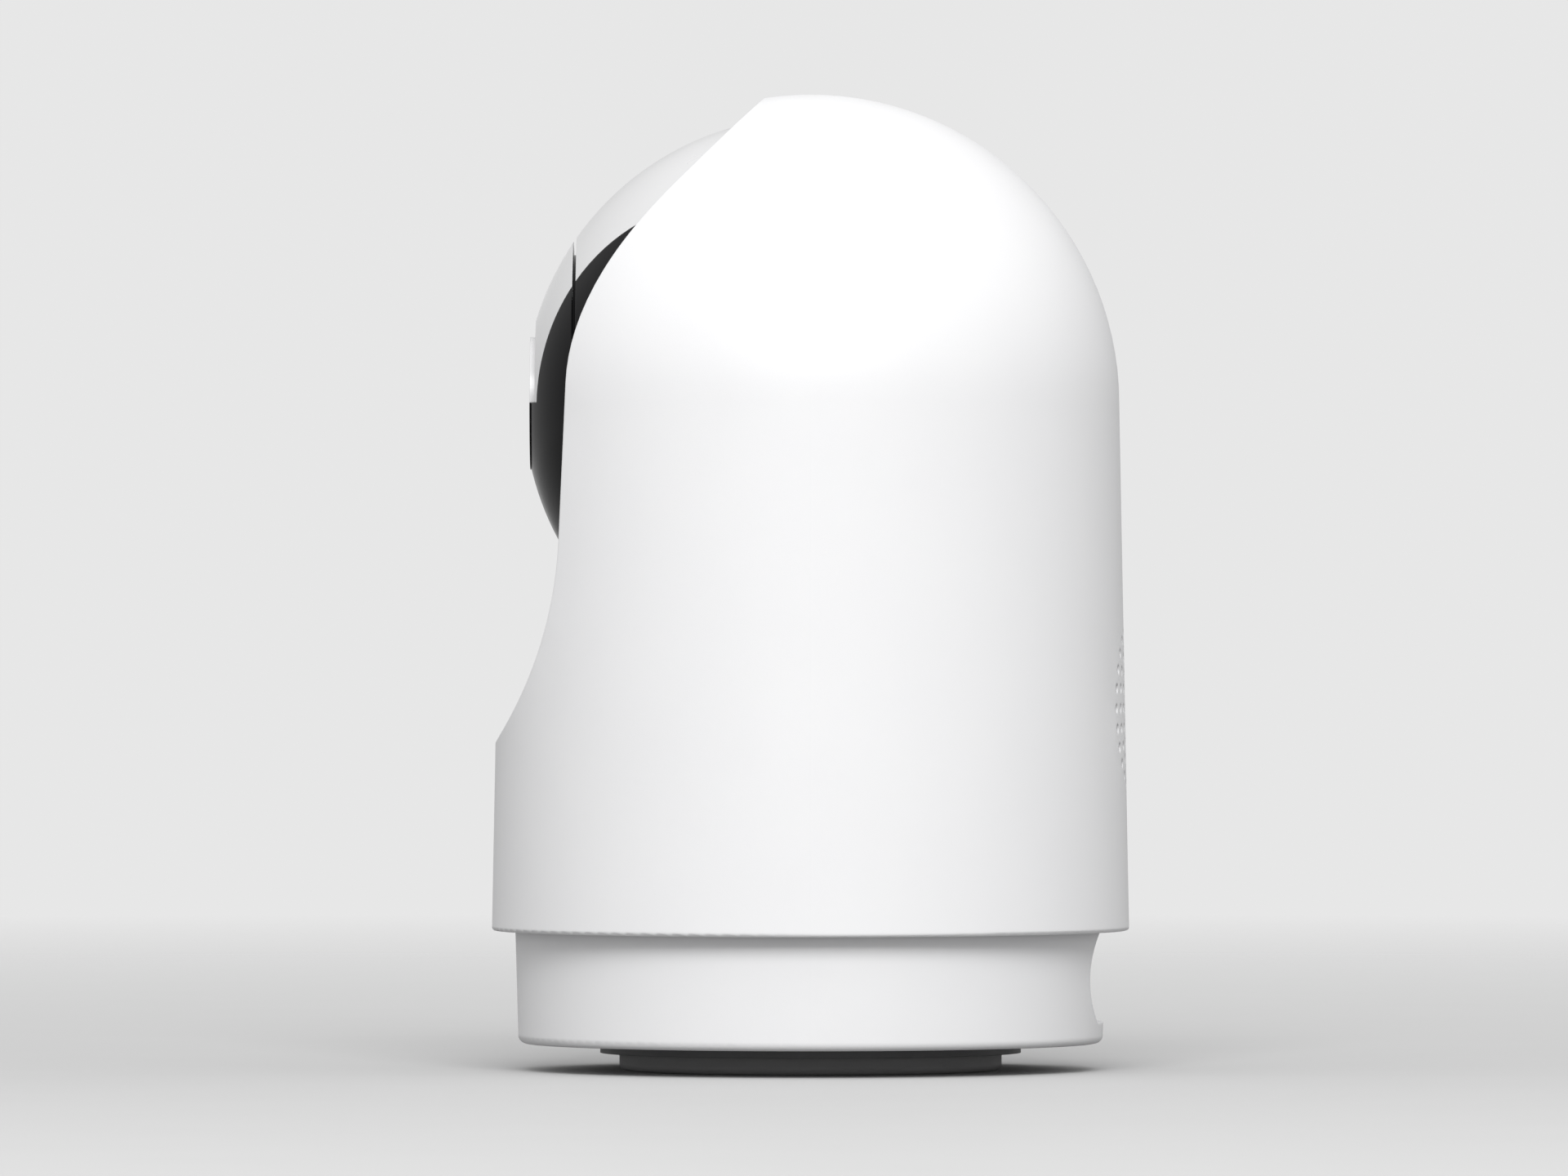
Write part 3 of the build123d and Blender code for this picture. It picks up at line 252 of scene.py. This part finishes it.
def camera_ray(tree, seen, otherwise):
    """Value for what the camera sees directly, and another for the light that reaches the object."""
    path = tree.nodes.new("ShaderNodeLightPath")
    choice = tree.nodes.new("ShaderNodeMix")
    tree.links.new(path.outputs["Is Camera Ray"], choice.inputs["Factor"])
    choice.inputs["B"].default_value = seen
    if isinstance(otherwise, float):
        choice.inputs["A"].default_value = otherwise
    else:
        tree.links.new(otherwise, choice.inputs["A"])
    return choice.outputs["Result"]


def make_room():
    """Even pale surroundings to look at, with soft light that comes mostly from above."""
    world = bpy.data.worlds.new("studio")
    world.use_nodes = True
    tree = world.node_tree
    background = tree.nodes["Background"]
    background.inputs["Color"].default_value = (1.0, 1.0, 1.0, 1.0)
    direction = tree.nodes.new("ShaderNodeTexCoord")
    parts = tree.nodes.new("ShaderNodeSeparateXYZ")
    sky = tree.nodes.new("ShaderNodeMapRange")
    sky.interpolation_type = "SMOOTHSTEP"
    sky.inputs["From Min"].default_value = SKY_LOW_END
    sky.inputs["From Max"].default_value = SKY_HIGH_START
    sky.inputs["To Min"].default_value = SKY_LOW
    sky.inputs["To Max"].default_value = SKY_HIGH
    tree.links.new(direction.outputs["Generated"], parts.inputs["Vector"])
    tree.links.new(parts.outputs["Z"], sky.inputs["Value"])
    tree.links.new(camera_ray(tree, BACKGROUND, sky.outputs["Result"]), background.inputs["Strength"])
    bpy.context.scene.world = world


def floor_material():
    """Pale matt floor that throws little light back up, and fades into the surroundings further out."""
    m = Nodes("floor")
    shade = m.between(m.noise(40.0), 0.98, 1.0)
    level = m.add("ShaderNodeMath", operation="MULTIPLY")
    m.link(camera_ray(m.tree, FLOOR_SEEN, FLOOR_BOUNCE), level.inputs[0])
    m.link(shade, level.inputs[1])
    m.link(level.outputs["Value"], m.shader.inputs["Base Color"])
    m.set(Roughness=0.9, Specular_IOR_Level=0.1)
    distance = m.add("ShaderNodeVectorMath", operation="LENGTH")
    m.link(m.coordinates(), distance.inputs[0])
    fade = m.between(distance.outputs["Value"], 1.0, 0.0, FADE_START, FLOOR_RADIUS)
    m.link(fade, m.shader.inputs["Alpha"])
    return m.material


def make_floor():
    """Plain pale round floor that the object stands on."""
    mesh = bpy.data.meshes.new("floor")
    disc = bmesh.new()
    bmesh.ops.create_circle(disc, cap_ends=True, segments=FLOOR_SEGMENTS, radius=FLOOR_RADIUS)
    disc.to_mesh(mesh)
    disc.free()
    floor = bpy.data.objects.new("floor", mesh)
    floor.data.materials.append(floor_material())
    bpy.context.scene.collection.objects.link(floor)


make_camera()
dress_cad(make_materials())
area_light("key", KEY_PLACE, KEY_TARGET, KEY_SIZE, KEY_POWER)
make_room()
make_floor()
bpy.context.scene.view_settings.view_transform = "Standard"
